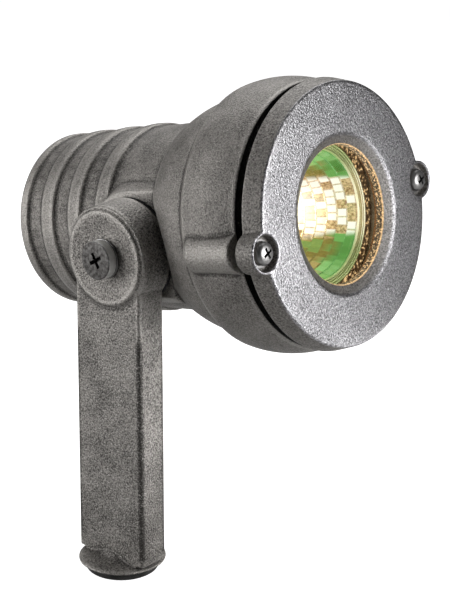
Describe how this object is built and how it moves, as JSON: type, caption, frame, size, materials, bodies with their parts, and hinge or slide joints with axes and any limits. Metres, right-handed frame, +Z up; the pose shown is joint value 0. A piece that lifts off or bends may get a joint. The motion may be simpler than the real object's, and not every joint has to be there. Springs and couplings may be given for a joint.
{
  "type": "underwater pond light",
  "caption": "Cast underwater pond spotlight with a textured clamp bezel, reflector lamp and ribbed tail, tilting on one flat arm with a swivel foot.",
  "frame": {"origin": "centre of the foot's underside, on the foot bolt's axis", "axes": "+Z up along the arm, -Y the way the lamp faces before its tilt, +X from the arm towards the lamp"},
  "size_m": [0.1073, 0.1491, 0.1802],
  "materials": {
    "cast_body": "sand-cast grey, fine grain",
    "bezel_face": "bright textured face, satin side",
    "stainless": "satin",
    "dark_bush": "dark satin",
    "black_rubber": "matte",
    "friction_nylon": "matte grey",
    "clear_glass": "clear polished",
    "dichroic_coating": "faceted mirror, yellow-green cast",
    "quartz": "clear",
    "tungsten": "glowing",
    "ceramic": "unglazed",
    "brass": "turned brass",
    "lead_sleeve": "woven glass sleeve"
  },
  "bodies": {
    "foot": {"foot_bush": "dark_bush", "foot_washer": "black_rubber"},
    "arm": {"arm": "cast_body", "pivot_friction_washer": "friction_nylon", "pivot_washer": "stainless"},
    "head": {"housing": "cast_body", "bezel": "bezel_face", "bezel_screw_left": "stainless", "bezel_screw_right": "stainless", "bezel_washer_left": "stainless", "bezel_washer_right": "stainless", "lens": "clear_glass", "lens_front_gasket": "black_rubber", "lens_rear_o_ring": "black_rubber", "lamp_retainer": "stainless", "lamp_reflector": "dichroic_coating", "lamp_capsule": "quartz", "lamp_filament": "tungsten", "lamp_base": "ceramic", "lamp_pin_a": "stainless", "lamp_pin_b": "stainless", "socket_body": "ceramic", "socket_contact_a": "brass", "socket_contact_b": "brass", "socket_bracket": "stainless", "socket_screw_a": "stainless", "socket_screw_b": "stainless", "lead_wire_a": "lead_sleeve", "lead_wire_b": "lead_sleeve", "crimp_cap_a": "brass", "crimp_cap_b": "brass", "gland_body": "brass", "gland_nut": "brass", "gland_washer": "black_rubber", "gland_sleeve": "black_rubber", "pivot_screw": "stainless"}
  },
  "joints": [
    {"name": "foot_swivel", "type": "hinge", "parent": "foot", "child": "arm", "pos_m": [0, 0, 0], "axis": [0, 0, 1], "continuous": true},
    {"name": "head_tilt", "type": "hinge", "parent": "arm", "child": "head", "pos_m": [0, 0, 0.1183], "axis": [-1, 0, 0], "range_deg": [-20, 80]}
  ]
}
